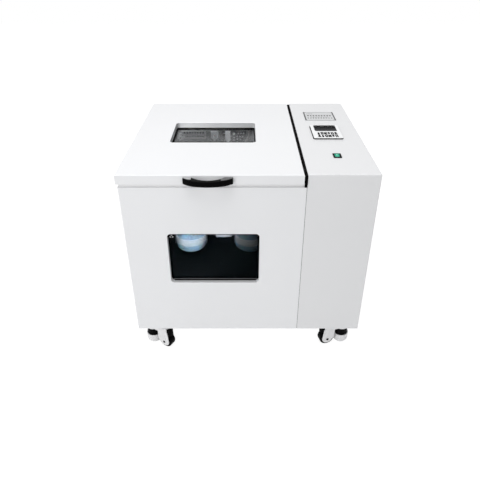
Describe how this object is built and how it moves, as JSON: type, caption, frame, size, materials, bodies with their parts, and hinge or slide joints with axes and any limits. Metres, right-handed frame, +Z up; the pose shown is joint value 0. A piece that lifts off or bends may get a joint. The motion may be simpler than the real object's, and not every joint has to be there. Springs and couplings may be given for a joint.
{
  "type": "incubated rotary bottle shaker",
  "caption": "Heated cabinet on levelling casters with a hinged windowed lid, a front window, a bottle rotor driven by belt, and a control section with keypad and rocker switch.",
  "frame": {"origin": "on the floor at the middle of the bounding box", "axes": "+X to the right, front faces -Y, +Z up"},
  "size_m": [0.85, 0.814, 0.7691],
  "materials": {
    "white_paint": "fine powder coat",
    "galvanised": "zinc plated",
    "stainless": "brushed stainless",
    "insulation": "mineral wool",
    "black_rubber": "matte",
    "tinted_glass": "polished, tinted",
    "clear_glass": "polished",
    "black_metal": "black coat",
    "steel": "ground",
    "cast_housing": "painted casting",
    "motor_paint": "grey enamel",
    "heater_steel": "heat-darkened",
    "white_plastic": "fine texture",
    "dark_lens": "clear over black",
    "keypad_film": "satin film",
    "black_plastic": "moulded",
    "plate_metal": "satin",
    "black_gloss": "glossy moulded",
    "frame_steel": "brushed",
    "clamp_white": "white coat",
    "bottle_plastic": "translucent, light blue",
    "cap_plastic": "moulded, ribbed",
    "pulley_metal": "turned",
    "impeller_metal": "pressed",
    "green_plastic": "lit, translucent",
    "caster_cast": "white-grey coat",
    "wheel_nylon": "moulded nylon",
    "foot_metal": "cast, satin"
  },
  "bodies": {
    "cabinet": {"base_plate": "galvanised", "body_shell": "white_paint", "control_casing": "white_paint", "divider_wall": "white_paint", "rear_panel": "white_paint", "rim_frame": "white_paint", "chamber_liner": "stainless", "insulation_jacket": "insulation", "side_seal_strip": "black_rubber", "front_window_panes": "tinted_glass", "front_window_seal": "black_rubber", "hinge_body_leaves": "black_metal", "hinge_pins": "steel", "shaft_bearings": "cast_housing", "drive_belt": "black_rubber", "gearmotor": "motor_paint", "fan_guard": "black_metal", "fan_motor": "motor_paint", "heater_coil": "heater_steel", "controller_body": "white_plastic", "display_lens": "dark_lens", "keypad_membrane": "keypad_film", "switch_bezel": "black_plastic", "label_plate": "plate_metal", "power_inlet": "black_plastic", "casing_screws": "steel", "caster_plates": "galvanised"},
    "lid": {"lid_shell": "white_paint", "lid_liner": "stainless", "lid_insulation": "insulation", "lid_window_panes": "clear_glass", "lid_window_seal": "black_rubber", "lid_gasket": "black_rubber", "lid_handle": "black_gloss", "hinge_lid_leaves": "black_metal"},
    "rotor": {"rotor_shaft": "steel", "rotor_frame": "frame_steel", "bottle_clamps": "clamp_white", "bottles": "bottle_plastic", "bottle_caps": "cap_plastic", "driven_pulley": "pulley_metal"},
    "motor_drive": {"motor_pulley": "pulley_metal"},
    "fan": {"fan_impeller": "impeller_metal"},
    "rocker": {"switch_rocker": "green_plastic"},
    "caster_swivel_front_left": {"caster_fork_front_left": "caster_cast"},
    "wheel_front_left": {"caster_wheel_front_left": "wheel_nylon"},
    "thumbwheel_front_left": {"caster_thumbwheel_front_left": "black_plastic"},
    "foot_front_left": {"caster_foot_front_left": "foot_metal"},
    "caster_swivel_front_right": {"caster_fork_front_right": "caster_cast"},
    "wheel_front_right": {"caster_wheel_front_right": "wheel_nylon"},
    "thumbwheel_front_right": {"caster_thumbwheel_front_right": "black_plastic"},
    "foot_front_right": {"caster_foot_front_right": "foot_metal"},
    "caster_swivel_rear_left": {"caster_fork_rear_left": "caster_cast"},
    "wheel_rear_left": {"caster_wheel_rear_left": "wheel_nylon"},
    "thumbwheel_rear_left": {"caster_thumbwheel_rear_left": "black_plastic"},
    "foot_rear_left": {"caster_foot_rear_left": "foot_metal"},
    "caster_swivel_rear_right": {"caster_fork_rear_right": "caster_cast"},
    "wheel_rear_right": {"caster_wheel_rear_right": "wheel_nylon"},
    "thumbwheel_rear_right": {"caster_thumbwheel_rear_right": "black_plastic"},
    "foot_rear_right": {"caster_foot_rear_right": "foot_metal"}
  },
  "joints": [
    {"name": "lid_hinge", "type": "hinge", "parent": "cabinet", "child": "lid", "pos_m": [0, 0.39, 0.723], "axis": [-1, 0, 0], "range_deg": [0, 100]},
    {"name": "rotor_spin", "type": "hinge", "parent": "cabinet", "child": "rotor", "pos_m": [0, 0, 0.464], "axis": [1, 0, 0], "continuous": true},
    {"name": "motor_spin", "type": "hinge", "parent": "cabinet", "child": "motor_drive", "pos_m": [0, 0, 0.244], "axis": [1, 0, 0], "continuous": true},
    {"name": "fan_spin", "type": "hinge", "parent": "cabinet", "child": "fan", "pos_m": [-0.06, 0.36, 0.647], "axis": [0, -1, 0], "continuous": true},
    {"name": "rocker_tilt", "type": "hinge", "parent": "cabinet", "child": "rocker", "pos_m": [0.3065, -0.217, 0.757], "axis": [-1, 0, 0], "range_deg": [0, 18]},
    {"name": "swivel_front_left", "type": "hinge", "parent": "cabinet", "child": "caster_swivel_front_left", "pos_m": [-0.375, -0.309, 0.097], "axis": [0, 0, 1], "continuous": true},
    {"name": "roll_front_left", "type": "hinge", "parent": "caster_swivel_front_left", "child": "wheel_front_left", "pos_m": [-0.31957, -0.341, 0.029], "axis": [0.5, 0.866, 0], "continuous": true},
    {"name": "thumb_front_left", "type": "hinge", "parent": "caster_swivel_front_left", "child": "thumbwheel_front_left", "pos_m": [-0.375, -0.309, 0.056], "axis": [0, 0, 1], "range_deg": [-2400, 1080]},
    {"name": "foot_drop_front_left", "type": "slide", "parent": "caster_swivel_front_left", "child": "foot_front_left", "axis": [0, 0, -1], "range_m": [-0.0201, 0.0091]},
    {"name": "swivel_front_right", "type": "hinge", "parent": "cabinet", "child": "caster_swivel_front_right", "pos_m": [0.375, -0.309, 0.097], "axis": [0, 0, 1], "continuous": true},
    {"name": "roll_front_right", "type": "hinge", "parent": "caster_swivel_front_right", "child": "wheel_front_right", "pos_m": [0.31318, -0.32556, 0.029], "axis": [0.2588, -0.9659, 0], "continuous": true},
    {"name": "thumb_front_right", "type": "hinge", "parent": "caster_swivel_front_right", "child": "thumbwheel_front_right", "pos_m": [0.375, -0.309, 0.056], "axis": [0, 0, 1], "range_deg": [-2400, 1080]},
    {"name": "foot_drop_front_right", "type": "slide", "parent": "caster_swivel_front_right", "child": "foot_front_right", "axis": [0, 0, -1], "range_m": [-0.0201, 0.0091]},
    {"name": "swivel_rear_left", "type": "hinge", "parent": "cabinet", "child": "caster_swivel_rear_left", "pos_m": [-0.375, 0.325, 0.097], "axis": [0, 0, 1], "continuous": true},
    {"name": "roll_rear_left", "type": "hinge", "parent": "caster_swivel_rear_left", "child": "wheel_rear_left", "pos_m": [-0.35311, 0.26486, 0.029], "axis": [0.9397, 0.342, 0], "continuous": true},
    {"name": "thumb_rear_left", "type": "hinge", "parent": "caster_swivel_rear_left", "child": "thumbwheel_rear_left", "pos_m": [-0.375, 0.325, 0.056], "axis": [0, 0, 1], "range_deg": [-2400, 1080]},
    {"name": "foot_drop_rear_left", "type": "slide", "parent": "caster_swivel_rear_left", "child": "foot_rear_left", "axis": [0, 0, -1], "range_m": [-0.0201, 0.0091]},
    {"name": "swivel_rear_right", "type": "hinge", "parent": "cabinet", "child": "caster_swivel_rear_right", "pos_m": [0.375, 0.325, 0.097], "axis": [0, 0, 1], "continuous": true},
    {"name": "roll_rear_right", "type": "hinge", "parent": "caster_swivel_rear_right", "child": "wheel_rear_right", "pos_m": [0.32257, 0.28829, 0.029], "axis": [0.5736, -0.8192, 0], "continuous": true},
    {"name": "thumb_rear_right", "type": "hinge", "parent": "caster_swivel_rear_right", "child": "thumbwheel_rear_right", "pos_m": [0.375, 0.325, 0.056], "axis": [0, 0, 1], "range_deg": [-2400, 1080]},
    {"name": "foot_drop_rear_right", "type": "slide", "parent": "caster_swivel_rear_right", "child": "foot_rear_right", "axis": [0, 0, -1], "range_m": [-0.0201, 0.0091]}
  ],
  "couplings": [
    {"joint": "motor_spin", "follows": "rotor_spin", "ratio": 2},
    {"joint": "foot_drop_front_left", "follows": "thumb_front_left", "m_per_rad": 0.00047746},
    {"joint": "foot_drop_front_right", "follows": "thumb_front_right", "m_per_rad": 0.00047746},
    {"joint": "foot_drop_rear_left", "follows": "thumb_rear_left", "m_per_rad": 0.00047746},
    {"joint": "foot_drop_rear_right", "follows": "thumb_rear_right", "m_per_rad": 0.00047746}
  ]
}
